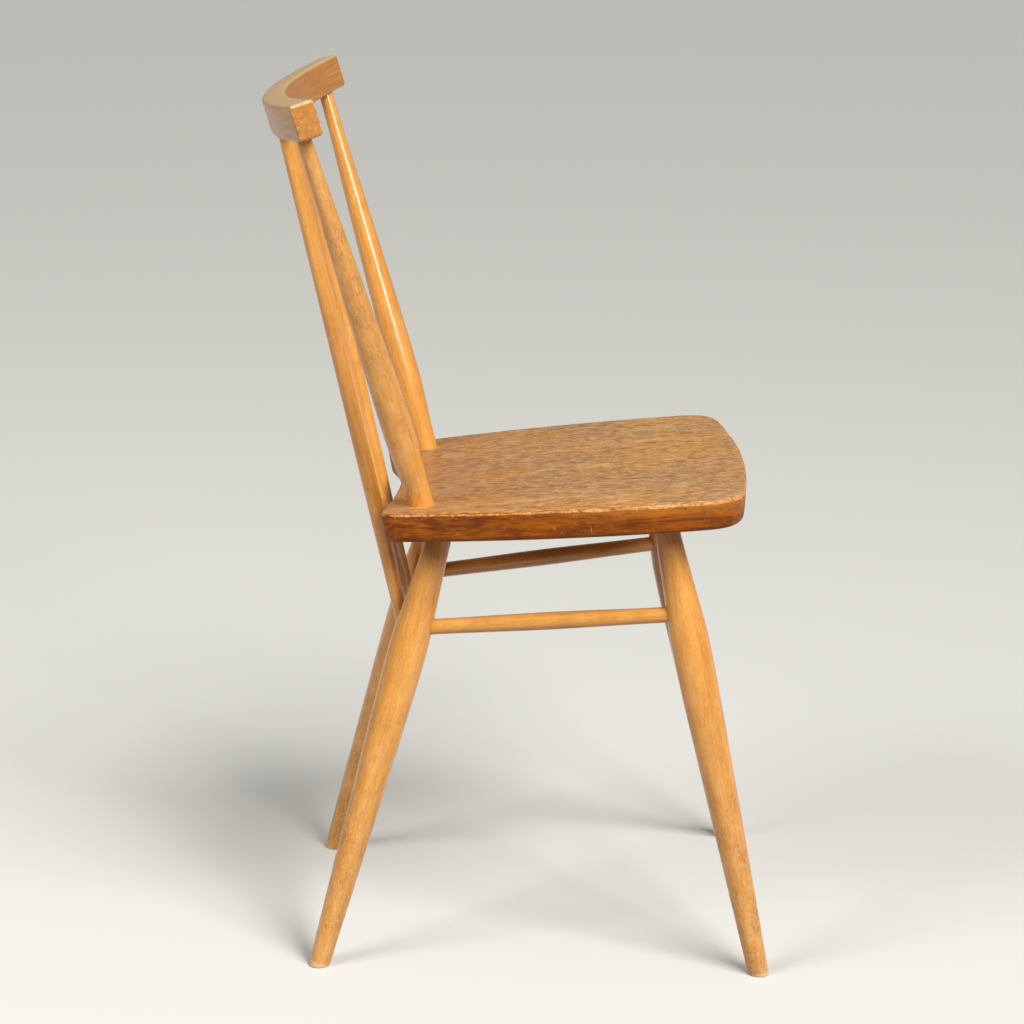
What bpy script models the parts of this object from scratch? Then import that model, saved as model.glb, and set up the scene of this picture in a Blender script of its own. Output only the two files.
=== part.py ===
"""A side chair with an elm seat on turned beech legs.

Two swelling posts and three slim sticks carry a bent top rail. The posts stand
in the seat, and the slim sticks pass behind its hollow back edge down to a
stretcher between the rear legs.

Metres, +Z up. The chair faces -Y, its left side is at +X, and it stands on Z = 0.
"""
import bpy
import bmesh
from math import cos, pi, radians, sin, sqrt, tan
from mathutils import Matrix, Vector

# Seat plank. Y is measured back from the line between the two front feet.
SEAT_FRONT_Y = 0.0087
SEAT_FRONT_HEIGHT = 0.4394
SEAT_RAKE = radians(4.0)
SEAT_THICKNESS = 0.0273
SEAT_DEPTH = 0.3305
SEAT_FRONT_WIDTH = 0.335
SEAT_BACK_WIDTH = 0.261
SEAT_FRONT_BOW = 0.0145
SEAT_SIDE_BOW = 0.0128
SEAT_BACK_HOLLOW = 0.0195
SEAT_FRONT_CORNER = 0.030
SEAT_BACK_CORNER = 0.016
SEAT_TOP_ARRIS = 0.0035
SEAT_LOWER_ARRIS = 0.0060
SEAT_UNDERCUT = 0.002

# Legs: where their tenons come out in the seat's top, and where their feet stand
FRONT_TENON_X = 0.103
FRONT_TENON_Y = 0.0915
FRONT_FOOT_X = 0.168
REAR_TENON_X = 0.067
REAR_TENON_Y = 0.272
REAR_FOOT_X = 0.143
REAR_FOOT_Y = 0.394

# Turned profile of a leg, measured down from the seat's underside
LEG_TENON_RADIUS = 0.0111
LEG_NECK_LENGTH = 0.008
LEG_SHIN_DROP = 0.064
LEG_SHIN_RADIUS = 0.0141
LEG_SWELL_DROP = 0.117
LEG_SWELL_RADIUS = 0.0173
LEG_CALF_DROP = 0.250
LEG_CALF_RADIUS = 0.0143
LEG_FOOT_RADIUS = 0.0089
FOOT_CHAMFER = 0.0008

# Stretchers: heights at which they meet the leg axes, and their turned profiles
SIDE_STRETCHER_REAR_HEIGHT = 0.3003
SIDE_STRETCHER_FRONT_HEIGHT = 0.3215
SIDE_STRETCHER_END_RADIUS = 0.0070
SIDE_STRETCHER_MID_RADIUS = 0.0079
REAR_STRETCHER_HEIGHT = 0.284
REAR_STRETCHER_SETBACK = 0.003
REAR_STRETCHER_END_RADIUS = 0.0070
REAR_STRETCHER_MID_RADIUS = 0.0096
STRETCHER_NECK = 0.007

# Bent top rail, centred on its middle section
RAIL_Y = 0.4229
RAIL_HEIGHT = 0.7540
RAIL_LEAN = radians(16.4)
RAIL_BEND_RADIUS = 0.558
RAIL_LENGTH = 0.411
RAIL_THICKNESS = 0.0212
RAIL_DEPTH = 0.0306
RAIL_EDGE = 0.003
RAIL_END_ARRIS = 0.0035
RAIL_END_CORNER = 0.0045

# Outer posts: foot on the seat, head in from the rail's end, and profile up from the seat
POST_SEAT_X = 0.108
POST_SEAT_Y = 0.2985
POST_RAIL_MARGIN = 0.0281
POST_FOOT_RADIUS = 0.0108
POST_SWELL_RISE = 0.072
POST_SWELL_RADIUS = 0.0135
POST_WAIST_RISE = 0.205
POST_WAIST_RADIUS = 0.0105
POST_HEAD_RADIUS = 0.0064
POST_SEAT_SOCKET = 0.018

# Slim sticks: spacing round the rail's bend and along the rear stretcher, and profile
STICK_RAIL_SPACING = 0.0722
STICK_STRETCHER_SPACING = 0.056
STICK_END_RADIUS = 0.0063
STICK_SWELL_RISE = 0.160
STICK_SWELL_RADIUS = 0.0069
RAIL_SOCKET = 0.015

# Gap left all round where one piece is fitted into another
FIT_GAP = 0.0003
# Waste that a leg or a cutter has beyond the face it is cut to
TRIM = 0.008

LEG_SIDES = 24
POST_SIDES = 24
STICK_SIDES = 16
RING_SPACING = 0.024
SEAT_EDGE_STEPS = 16
SEAT_CORNER_STEPS = 7
RAIL_STEPS = 26
CORNER_STEPS = 4
SMOOTH_LIMIT = radians(38)

# Base colours as linear RGB: varnished beech and worn elm
BEECH = (0.62, 0.30, 0.085)
ELM = (0.28, 0.145, 0.065)


def clear_scene():
    for item in list(bpy.data.objects):
        bpy.data.objects.remove(item, do_unlink=True)


def wood(name, colour, roughness):
    """A varnished wood of one plain colour."""
    material = bpy.data.materials.new(name)
    material.use_nodes = True
    shader = material.node_tree.nodes["Principled BSDF"]
    shader.inputs["Base Color"].default_value = (*colour, 1.0)
    shader.inputs["Roughness"].default_value = roughness
    shader.inputs["Metallic"].default_value = 0.0
    material.diffuse_color = (*colour, 1.0)
    return material


def add_object(name, shape, matrix, parent, colour, roughness):
    """Turn a bmesh into a named, smooth shaded piece with its own material."""
    mesh = bpy.data.meshes.new(name)
    bmesh.ops.recalc_face_normals(shape, faces=shape.faces[:])
    shape.to_mesh(mesh)
    shape.free()
    mesh.shade_smooth()
    mesh.set_sharp_from_angle(angle=SMOOTH_LIMIT)
    mesh.materials.append(wood(name + "_wood", colour, roughness))
    item = bpy.data.objects.new(name, mesh)
    item.matrix_world = matrix
    item.parent = parent
    bpy.context.scene.collection.objects.link(item)
    return item


def along(start, end):
    """Matrix whose origin is start and whose +Z points at end."""
    turn = (end - start).to_track_quat("Z", "Y").to_matrix().to_4x4()
    return Matrix.Translation(start) @ turn


def seat_top(y):
    """Height of the raked top face of the seat."""
    return SEAT_FRONT_HEIGHT - (y - SEAT_FRONT_Y) * tan(SEAT_RAKE)


def seat_matrix():
    """Seat frame: origin at the middle of the front edge, +Y back along the rake."""
    place = Matrix.Translation((0, SEAT_FRONT_Y, SEAT_FRONT_HEIGHT))
    return place @ Matrix.Rotation(-SEAT_RAKE, 4, "X")


def rail_matrix():
    """Rail frame: origin in its middle section, +Z up the leaning back."""
    return Matrix.Translation((0, RAIL_Y, RAIL_HEIGHT)) @ Matrix.Rotation(-RAIL_LEAN, 4, "X")


def rail_underside(distance):
    """Point under the middle of the rail's thickness, at a distance round its bend."""
    turn = distance / RAIL_BEND_RADIUS
    back = RAIL_BEND_RADIUS * (cos(turn) - 1)
    return rail_matrix() @ Vector((RAIL_BEND_RADIUS * sin(turn), back, -RAIL_DEPTH / 2))


def axis_at_height(start, end, height):
    """Point at a height on the line from start to end."""
    return start.lerp(end, (height - start.z) / (end.z - start.z))


def front_leg_axis(side):
    """Tenon centre in the seat's top and foot centre on the floor."""
    top = Vector((side * FRONT_TENON_X, FRONT_TENON_Y, seat_top(FRONT_TENON_Y)))
    return top, Vector((side * FRONT_FOOT_X, 0, 0))


def rear_leg_axis(side):
    top = Vector((side * REAR_TENON_X, REAR_TENON_Y, seat_top(REAR_TENON_Y)))
    return top, Vector((side * REAR_FOOT_X, REAR_FOOT_Y, 0))


def side_stretcher_axis(side):
    """Ends of a side stretcher, on the axes of its rear and front legs."""
    rear = axis_at_height(*rear_leg_axis(side), SIDE_STRETCHER_REAR_HEIGHT)
    front = axis_at_height(*front_leg_axis(side), SIDE_STRETCHER_FRONT_HEIGHT)
    return rear, front


def rear_stretcher_axis():
    """Ends of the rear stretcher, a little behind the axes of the rear legs."""
    left = axis_at_height(*rear_leg_axis(1), REAR_STRETCHER_HEIGHT)
    left.y += REAR_STRETCHER_SETBACK
    return Vector((-left.x, left.y, left.z)), left


def post_axis(side):
    """Foot of a post on the seat's top and its head under the rail."""
    foot = Vector((side * POST_SEAT_X, POST_SEAT_Y, seat_top(POST_SEAT_Y)))
    return foot, rail_underside(side * (RAIL_LENGTH / 2 - POST_RAIL_MARGIN))


def stick_axis(place):
    """Foot of a slim stick on the rear stretcher's axis and its head under the rail."""
    right = rear_stretcher_axis()[0]
    foot = Vector((place * STICK_STRETCHER_SPACING, right.y, right.z))
    return foot, rail_underside(place * STICK_RAIL_SPACING)


def smooth_radius(stations, distance):
    """Radius on a smooth curve through the stations, with no overshoot between them."""
    count = len(stations)
    gaps = [stations[i + 1][0] - stations[i][0] for i in range(count - 1)]
    slopes = [(stations[i + 1][1] - stations[i][1]) / gaps[i] for i in range(count - 1)]
    tangents = [slopes[0]]
    for before, after in zip(slopes, slopes[1:]):
        turning = before * after <= 0
        tangents.append(0.0 if turning else 2 * before * after / (before + after))
    tangents.append(slopes[-1])
    index = 0
    while index < count - 2 and distance > stations[index + 1][0]:
        index += 1
    t = (distance - stations[index][0]) / gaps[index]
    start, end = stations[index][1], stations[index + 1][1]
    rise = gaps[index] * (t * (1 - t) ** 2 * tangents[index] - t * t * (1 - t) * tangents[index + 1])
    return start + (end - start) * t * t * (3 - 2 * t) + rise


def ring_distances(stations):
    """Every station and evenly spaced rings between them."""
    rings = []
    for (near, _), (far, _) in zip(stations, stations[1:]):
        steps = max(1, round((far - near) / RING_SPACING))
        rings += [near + (far - near) * step / steps for step in range(steps)]
    return rings + [stations[-1][0]]


def turned(stations, sides):
    """Solid of revolution about +Z through stations of distance and radius."""
    shape = bmesh.new()
    rings = ring_distances(stations)
    profile = [(0.0, rings[0])]
    profile += [(smooth_radius(stations, distance), distance) for distance in rings]
    profile.append((0.0, rings[-1]))
    points = [shape.verts.new((radius, 0, height)) for radius, height in profile]
    lines = [shape.edges.new(pair) for pair in zip(points, points[1:])]
    bmesh.ops.spin(shape, geom=points + lines, cent=(0, 0, 0), axis=(0, 0, 1), angle=2 * pi,
                   steps=sides, use_merge=True)
    bmesh.ops.remove_doubles(shape, verts=shape.verts[:], dist=1e-5)
    return shape


def cut_flat(shape, matrix, point, outward):
    """Saw a turned piece off at a plane given in the chair's frame, and return the rim."""
    local = matrix.inverted()
    cut = bmesh.ops.bisect_plane(
        shape, geom=shape.verts[:] + shape.edges[:] + shape.faces[:], dist=1e-6,
        plane_co=local @ point, plane_no=local.to_3x3() @ outward, clear_outer=True)
    rim = [item for item in cut["geom_cut"] if isinstance(item, bmesh.types.BMEdge)]
    bmesh.ops.contextual_create(shape, geom=rim)
    return rim


def socket_hole(cutter, start, end, radius, near, far):
    """Add a round hole on the line from start to end to a cutter's mesh."""
    axis = along(start, end)
    middle = Matrix.Translation((0, 0, (near + far) / 2))
    bmesh.ops.create_cone(cutter, cap_ends=True, segments=LEG_SIDES, radius1=radius + FIT_GAP,
                          radius2=radius + FIT_GAP, depth=far - near, matrix=axis @ middle)


def bore(item, holes, parent):
    """Cut holes, given as (start, end, radius, near, far), out of a piece."""
    shape = bmesh.new()
    for start, end, radius, near, far in holes:
        socket_hole(shape, start, end, radius, near, far)
    cutter = add_object(item.name + "_holes", shape, Matrix.Identity(4), parent, BEECH, 0.5)
    cutter.display_type = "WIRE"
    cutter.hide_render = True
    cut = item.modifiers.new("holes", "BOOLEAN")
    cut.operation = "DIFFERENCE"
    cut.solver = "EXACT"
    cut.object = cutter


def edge_point(start, end, bow, t):
    """Point on an edge that bows out to the right of its way round by a distance."""
    way = end - start
    outward = Vector((way.y, -way.x)).normalized()
    return start + way * t + outward * (4 * bow * t * (1 - t))


def seat_outline():
    """Plan of the seat: bowed front and sides, hollow back, rounded corners."""
    half_front, half_back = SEAT_FRONT_WIDTH / 2, SEAT_BACK_WIDTH / 2
    corners = [Vector((-half_front, SEAT_FRONT_BOW)), Vector((half_front, SEAT_FRONT_BOW)),
               Vector((half_back, SEAT_DEPTH)), Vector((-half_back, SEAT_DEPTH))]
    rounds = [SEAT_FRONT_CORNER, SEAT_FRONT_CORNER, SEAT_BACK_CORNER, SEAT_BACK_CORNER]
    bows = [SEAT_FRONT_BOW, SEAT_SIDE_BOW, -SEAT_BACK_HOLLOW, SEAT_SIDE_BOW]
    outline = []
    for index, bow in enumerate(bows):
        start, end = corners[index], corners[(index + 1) % 4]
        after = corners[(index + 2) % 4]
        length = (end - start).length
        first = rounds[index] / length
        last = 1 - rounds[(index + 1) % 4] / length
        for step in range(SEAT_EDGE_STEPS + 1):
            outline.append(edge_point(start, end, bow, first + (last - first) * step / SEAT_EDGE_STEPS))
        entry = edge_point(start, end, bow, last)
        leave_at = rounds[(index + 1) % 4] / (after - end).length
        leave = edge_point(end, after, bows[(index + 1) % 4], leave_at)
        for step in range(1, SEAT_CORNER_STEPS):
            t = step / SEAT_CORNER_STEPS
            outline.append(entry * (1 - t) ** 2 + end * (2 * t * (1 - t)) + leave * t * t)
    return outline


def inset_outline(outline, inset):
    """The outline moved inwards along its own normals."""
    moved = []
    for index, point in enumerate(outline):
        way = outline[(index + 1) % len(outline)] - outline[index - 1]
        outward = Vector((way.y, -way.x)).normalized()
        moved.append(point - outward * inset)
    return moved


def seat_levels():
    """Insets and depths of the seat's edge, from its top face down to its underside."""
    levels = []
    for step in range(CORNER_STEPS):
        turn = pi / 2 * step / (CORNER_STEPS - 1)
        levels.append((SEAT_TOP_ARRIS * (1 - sin(turn)), -SEAT_TOP_ARRIS * (1 - cos(turn))))
    for step in range(CORNER_STEPS):
        turn = pi / 2 * step / (CORNER_STEPS - 1)
        inset = SEAT_UNDERCUT + SEAT_LOWER_ARRIS * (1 - cos(turn))
        levels.append((inset, -SEAT_THICKNESS + SEAT_LOWER_ARRIS * (1 - sin(turn))))
    return levels


def bridge(shape, rings):
    """Close a stack of rings of points into one solid."""
    loops = [[shape.verts.new(point) for point in ring] for ring in rings]
    count = len(loops[0])
    for upper, lower in zip(loops, loops[1:]):
        for index in range(count):
            after = (index + 1) % count
            shape.faces.new((upper[index], lower[index], lower[after], upper[after]))
    shape.faces.new(loops[0])
    shape.faces.new(list(reversed(loops[-1])))


def build_seat(parent):
    """The elm plank, bored through for the legs and part way for the posts."""
    outline = seat_outline()
    shape = bmesh.new()
    rings = []
    for inset, depth in seat_levels():
        rings.append([Vector((p.x, p.y, depth)) for p in inset_outline(outline, inset)])
    bridge(shape, rings)
    seat = add_object("seat", shape, seat_matrix(), parent, ELM, 0.5)
    holes = []
    for side in (-1, 1):
        for top, foot in (front_leg_axis(side), rear_leg_axis(side)):
            holes.append((top, foot, LEG_TENON_RADIUS, -TRIM, SEAT_THICKNESS + TRIM))
        foot, head = post_axis(side)
        holes.append((foot, head, POST_FOOT_RADIUS, -POST_SEAT_SOCKET - FIT_GAP, TRIM))
    bore(seat, holes, parent)


def leg_stations(top, foot):
    """Leg profile down its axis, with waste beyond both cuts."""
    length = (foot - top).length
    normal = seat_matrix().to_3x3() @ Vector((0, 0, 1))
    lean = (top - foot).normalized().dot(normal)
    seat = SEAT_THICKNESS / lean
    return [(-TRIM, LEG_TENON_RADIUS), (seat + LEG_NECK_LENGTH, LEG_TENON_RADIUS),
            (seat + LEG_SHIN_DROP, LEG_SHIN_RADIUS), (seat + LEG_SWELL_DROP, LEG_SWELL_RADIUS),
            (seat + LEG_CALF_DROP, LEG_CALF_RADIUS), (length + TRIM, LEG_FOOT_RADIUS)]


def build_leg(name, axis, holes, parent):
    """A turned leg, sawn flush with the seat's top and with the floor."""
    top, foot = axis
    matrix = along(top, foot)
    shape = turned(leg_stations(top, foot), LEG_SIDES)
    cut_flat(shape, matrix, top, seat_matrix().to_3x3() @ Vector((0, 0, 1)))
    rim = cut_flat(shape, matrix, Vector((0, 0, 0)), Vector((0, 0, -1)))
    bmesh.ops.bevel(shape, geom=rim, offset=FOOT_CHAMFER, segments=1, affect="EDGES")
    leg = add_object(name, shape, matrix, parent, BEECH, 0.35)
    bore(leg, holes, parent)


def leg_hole(start, end, radius):
    """Hole in a leg for a stretcher whose end lies on the leg's axis."""
    return (start, end, radius, -FIT_GAP, LEG_SWELL_RADIUS + TRIM)


def build_legs(parent):
    right_end, left_end = rear_stretcher_axis()
    for side, word in ((1, "left"), (-1, "right")):
        rear, front = side_stretcher_axis(side)
        build_leg("front_leg_" + word, front_leg_axis(side),
                  [leg_hole(front, rear, SIDE_STRETCHER_END_RADIUS)], parent)
        ends = (left_end, right_end) if side > 0 else (right_end, left_end)
        build_leg("rear_leg_" + word, rear_leg_axis(side),
                  [leg_hole(rear, front, SIDE_STRETCHER_END_RADIUS),
                   leg_hole(*ends, REAR_STRETCHER_END_RADIUS)], parent)


def stretcher_stations(length, end_radius, mid_radius):
    """Parallel ends that enter the legs, and a gentle swell between them."""
    neck = LEG_SWELL_RADIUS + STRETCHER_NECK
    return [(0, end_radius), (neck, end_radius), (length / 2, mid_radius),
            (length - neck, end_radius), (length, end_radius)]


def build_stretchers(parent):
    for side, word in ((1, "left"), (-1, "right")):
        rear, front = side_stretcher_axis(side)
        stations = stretcher_stations((front - rear).length, SIDE_STRETCHER_END_RADIUS,
                                      SIDE_STRETCHER_MID_RADIUS)
        add_object("side_stretcher_" + word, turned(stations, STICK_SIDES), along(rear, front),
                   parent, BEECH, 0.38)
    start, end = rear_stretcher_axis()
    stations = stretcher_stations((end - start).length, REAR_STRETCHER_END_RADIUS,
                                  REAR_STRETCHER_MID_RADIUS)
    stretcher = add_object("rear_stretcher", turned(stations, POST_SIDES), along(start, end),
                           parent, BEECH, 0.38)
    holes = [(*stick_axis(place), STICK_END_RADIUS, -FIT_GAP, REAR_STRETCHER_MID_RADIUS + TRIM)
             for place in (-1, 0, 1)]
    bore(stretcher, holes, parent)


def build_posts(parent):
    """Two swelling posts between the seat and the rail."""
    for side, word in ((1, "left"), (-1, "right")):
        foot, head = post_axis(side)
        length = (head - foot).length
        stations = [(-POST_SEAT_SOCKET, POST_FOOT_RADIUS), (0, POST_FOOT_RADIUS),
                    (POST_SWELL_RISE, POST_SWELL_RADIUS), (POST_WAIST_RISE, POST_WAIST_RADIUS),
                    (length, POST_HEAD_RADIUS), (length + RAIL_SOCKET, POST_HEAD_RADIUS)]
        add_object("back_post_" + word, turned(stations, POST_SIDES), along(foot, head), parent,
                   BEECH, 0.33)


def build_sticks(parent):
    """Three slim sticks between the rear stretcher and the rail."""
    for place, word in ((1, "left"), (0, "middle"), (-1, "right")):
        foot, head = stick_axis(place)
        length = (head - foot).length
        stations = [(0, STICK_END_RADIUS), (STICK_SWELL_RISE, STICK_SWELL_RADIUS),
                    (length, STICK_END_RADIUS), (length + RAIL_SOCKET, STICK_END_RADIUS)]
        add_object("back_stick_" + word, turned(stations, STICK_SIDES), along(foot, head), parent,
                   BEECH, 0.35)


def round_off(distance, radius):
    """How far a rounded end draws in at a distance from its very end."""
    if distance >= radius:
        return 0.0
    return radius - sqrt(radius ** 2 - (radius - distance) ** 2)


def rail_section(from_end):
    """Rounded oblong of the rail's thickness and depth, drawn in near its ends."""
    inset = round_off(from_end, RAIL_END_ARRIS)
    drop = max(inset, round_off(from_end, RAIL_END_CORNER))
    back, front = RAIL_THICKNESS / 2 - inset, inset - RAIL_THICKNESS / 2
    top, foot = RAIL_DEPTH / 2 - drop, inset - RAIL_DEPTH / 2
    centres = ((back - RAIL_EDGE, top - RAIL_EDGE, 0), (front + RAIL_EDGE, top - RAIL_EDGE, 1),
               (front + RAIL_EDGE, foot + RAIL_EDGE, 2), (back - RAIL_EDGE, foot + RAIL_EDGE, 3))
    points = []
    for across, up, quarter in centres:
        for step in range(CORNER_STEPS):
            turn = pi / 2 * (quarter + step / (CORNER_STEPS - 1))
            points.append((across + RAIL_EDGE * cos(turn), up + RAIL_EDGE * sin(turn)))
    return points


def rail_stations():
    """Distances along the rail, close together where its ends are rounded."""
    ends = [RAIL_END_CORNER * (1 - cos(pi / 2 * step / CORNER_STEPS)) for step in range(CORNER_STEPS)]
    inner = RAIL_LENGTH - 2 * RAIL_END_CORNER
    middle = [RAIL_END_CORNER + inner * step / RAIL_STEPS for step in range(RAIL_STEPS + 1)]
    return ends + middle + [RAIL_LENGTH - distance for distance in reversed(ends)]


def build_rail(parent):
    """The rail: one section swept round the bend, with rounded ends."""
    rings = []
    for distance in rail_stations():
        turn = (distance - RAIL_LENGTH / 2) / RAIL_BEND_RADIUS
        ring = []
        for across, up in rail_section(min(distance, RAIL_LENGTH - distance)):
            reach = RAIL_BEND_RADIUS + across
            ring.append(Vector((reach * sin(turn), reach * cos(turn) - RAIL_BEND_RADIUS, up)))
        rings.append(ring)
    shape = bmesh.new()
    bridge(shape, rings)
    rail = add_object("top_rail", shape, rail_matrix(), parent, BEECH, 0.35)
    holes = []
    for axis, radius in [(post_axis(side), POST_HEAD_RADIUS) for side in (-1, 1)] + [
            (stick_axis(place), STICK_END_RADIUS) for place in (-1, 0, 1)]:
        length = (axis[1] - axis[0]).length
        holes.append((*axis, radius, length - TRIM, length + RAIL_SOCKET + FIT_GAP))
    bore(rail, holes, parent)


def centre_on_origin(parent):
    """Slide the whole chair so that the middle of its plan lies over the origin."""
    reach = [(item.matrix_world @ vertex.co).y for item in parent.children
             if not item.hide_render for vertex in item.data.vertices]
    parent.location.y = -(min(reach) + max(reach)) / 2


def main():
    clear_scene()
    chair = bpy.data.objects.new("chair", None)
    bpy.context.scene.collection.objects.link(chair)
    build_seat(chair)
    build_legs(chair)
    build_stretchers(chair)
    build_posts(chair)
    build_sticks(chair)
    build_rail(chair)
    bpy.context.view_layer.update()
    centre_on_origin(chair)
    bpy.context.view_layer.update()


main()
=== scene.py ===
# %% [markdown]
# # A worn side chair in beech and elm
# This lesson dresses a chair whose solids are already made. The solids are true in
# shape but plain and faceted, so each piece is turned, bent or sawn again with
# Blender's own tools, finely enough to take a gloss, and is then varnished and worn.
# First come the solids, which fix where everything is, and the box they fill.

from math import asin, cos, pi, radians, sin, tan

import bpy
from mathutils import Matrix, Vector, noise


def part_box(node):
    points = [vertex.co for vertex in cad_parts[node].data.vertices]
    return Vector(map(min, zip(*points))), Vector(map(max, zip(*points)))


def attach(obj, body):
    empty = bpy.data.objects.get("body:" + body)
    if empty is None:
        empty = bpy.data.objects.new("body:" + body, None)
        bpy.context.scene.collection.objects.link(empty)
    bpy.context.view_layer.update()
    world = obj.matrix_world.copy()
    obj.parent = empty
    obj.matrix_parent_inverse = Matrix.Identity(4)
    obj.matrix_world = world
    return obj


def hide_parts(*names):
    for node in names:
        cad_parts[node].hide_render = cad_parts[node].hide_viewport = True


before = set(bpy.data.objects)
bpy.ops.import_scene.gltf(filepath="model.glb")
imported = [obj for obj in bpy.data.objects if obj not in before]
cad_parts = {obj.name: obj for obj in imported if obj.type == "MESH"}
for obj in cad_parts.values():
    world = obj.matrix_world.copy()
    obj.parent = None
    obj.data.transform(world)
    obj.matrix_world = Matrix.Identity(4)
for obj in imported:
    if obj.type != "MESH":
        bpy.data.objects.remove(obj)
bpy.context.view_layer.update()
print("solids:", sorted(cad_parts))

# %% [markdown]
# ## The workshop drawing
# The chair faces -Y and its left side is at +X. Lengths are in metres. Distances back
# are counted from the line between the front feet, as on a workshop drawing, and one
# shift carries that line to where the solids have it.

# %% Sizes of the chair
FOOT_REACH = 0.00912  # how far a front foot's rim lies ahead of its middle
SHIFT_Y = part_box("front_leg_left")[0].y + FOOT_REACH
SIDES = {"left": 1, "right": -1}

SEAT_FRONT_Y = 0.0087
SEAT_FRONT_HEIGHT = 0.4394
SEAT_RAKE = radians(4.0)
SEAT_THICKNESS = 0.0273
SEAT_DEPTH = 0.3305

FRONT_TENON = (0.103, 0.0915)
FRONT_FOOT = (0.168, 0.0)
REAR_TENON = (0.067, 0.272)
REAR_FOOT = (0.143, 0.394)

RAIL_MIDDLE = (0.4229, 0.7540)
RAIL_LEAN = radians(16.4)
RAIL_BEND_RADIUS = 0.558
RAIL_LENGTH = 0.411
RAIL_THICKNESS = 0.0212
RAIL_DEPTH = 0.0306


def seat_top(y):
    """Height of the seat's raked top at a distance back."""
    return SEAT_FRONT_HEIGHT - (y - SEAT_FRONT_Y) * tan(SEAT_RAKE)


def place(x, y, z):
    """A point of the drawing in the chair's frame."""
    return Vector((x, y + SHIFT_Y, z))


def along(start, end):
    """The matrix that lays +Z from the origin on the line from start to end."""
    turn = (end - start).to_track_quat("Z", "Y").to_matrix().to_4x4()
    return Matrix.Translation(start) @ turn


seat_corner = Matrix.Translation(place(0, SEAT_FRONT_Y, SEAT_FRONT_HEIGHT))
seat_matrix = seat_corner @ Matrix.Rotation(-SEAT_RAKE, 4, "X")
seat_up = seat_matrix.to_3x3() @ Vector((0, 0, 1))
rail_matrix = Matrix.Translation(place(0, *RAIL_MIDDLE)) @ Matrix.Rotation(-RAIL_LEAN, 4, "X")
print("drawing shifted by", round(SHIFT_Y, 5))

# %% [markdown]
# ## The camera
# The picture looks straight at the chair's right side from about two and a half
# metres, a little from above. A long lens keeps the legs nearly parallel. The view
# was solved from the chair's own edges, so its numbers are not round.

# %% Camera
LENS_PIXELS = 2734.3
PICTURE_PIXELS = 1024
CAMERA_PLACE = (-2.42572, 0.25232, 1.02086)
CAMERA_YAW = -0.01409
CAMERA_PITCH = -0.25693

camera_data = bpy.data.cameras.new("picture_camera")
camera_data.sensor_width = 36.0
camera_data.lens = LENS_PIXELS * camera_data.sensor_width / PICTURE_PIXELS
camera = bpy.data.objects.new("picture_camera", camera_data)
bpy.context.scene.collection.objects.link(camera)
level = Vector((cos(CAMERA_YAW), sin(CAMERA_YAW), 0)) * cos(CAMERA_PITCH)
camera.location = place(*CAMERA_PLACE)
camera.rotation_euler = (level + Vector((0, 0, sin(CAMERA_PITCH)))).to_track_quat("-Z", "Y").to_euler()
bpy.context.scene.camera = camera
bpy.context.scene.view_settings.view_transform = "Standard"
print("lens", round(camera_data.lens, 1), "mm")

# %% [markdown]
# ## Handling a piece
# Blender's operators work on what is selected, so every step first selects its own
# piece alone. A few helpers do that, choose edges or faces by where they are, and
# write a piece's place into its mesh, which keeps every piece's origin at the floor.

# %% Helpers for one piece
def take(piece):
    """Select one piece alone and make it the active one."""
    bpy.ops.object.select_all(action="DESELECT")
    piece.select_set(True)
    bpy.context.view_layer.objects.active = piece


def start_edit(piece):
    """Open one piece with nothing in it selected."""
    take(piece)
    bpy.ops.object.mode_set(mode="EDIT")
    bpy.ops.mesh.select_all(action="DESELECT")


def end_edit():
    bpy.ops.object.mode_set(mode="OBJECT")


def select_edges(piece, wanted):
    """Select only the edges whose two ends both pass a test."""
    bpy.ops.mesh.select_mode(type="EDGE")
    bpy.ops.mesh.select_all(action="DESELECT")
    end_edit()
    for edge in piece.data.edges:
        edge.select = all(wanted(piece.data.vertices[index].co) for index in edge.vertices)
    bpy.ops.object.mode_set(mode="EDIT")


def select_faces(piece, wanted):
    """Select only the faces that pass a test."""
    bpy.ops.mesh.select_mode(type="FACE")
    bpy.ops.mesh.select_all(action="DESELECT")
    end_edit()
    for face in piece.data.polygons:
        face.select = wanted(face)
    bpy.ops.object.mode_set(mode="EDIT")


def ring_of(name, points, fill):
    """A circle whose corners are moved on to points."""
    bpy.ops.object.select_all(action="DESELECT")
    bpy.ops.mesh.primitive_circle_add(vertices=len(points), radius=0.1, fill_type=fill)
    piece = bpy.context.object
    piece.name = name
    for vertex, point in zip(piece.data.vertices, points):
        vertex.co = point
    return piece


def copy_of(piece, name):
    """Another piece off the same pattern, with a mesh of its own."""
    take(piece)
    bpy.ops.object.duplicate(linked=False)
    twin = bpy.context.object
    twin.name = name
    return twin


def settle(piece, matrix):
    """Put a piece in its place and write that place into its mesh."""
    piece.matrix_world = matrix @ piece.matrix_world
    take(piece)
    bpy.ops.object.transform_apply(location=True, rotation=True, scale=True)


# %% [markdown]
# ## The lathe, the saw and the drill
# Legs, posts, sticks and stretchers all come off a lathe, and Blender's spin tool is
# one: a profile is drawn from the axis out, along and back to the axis, and spun round
# it. The profile is a smooth curve through a few measured radii that does not swell
# past them. A plane cut is the saw, and a cylinder taken away is the drill.

# %% Lathe, saw and drill
RING_STEP = 0.006
DRILL_SIDES = 48
WELD = 0.00001


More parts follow.
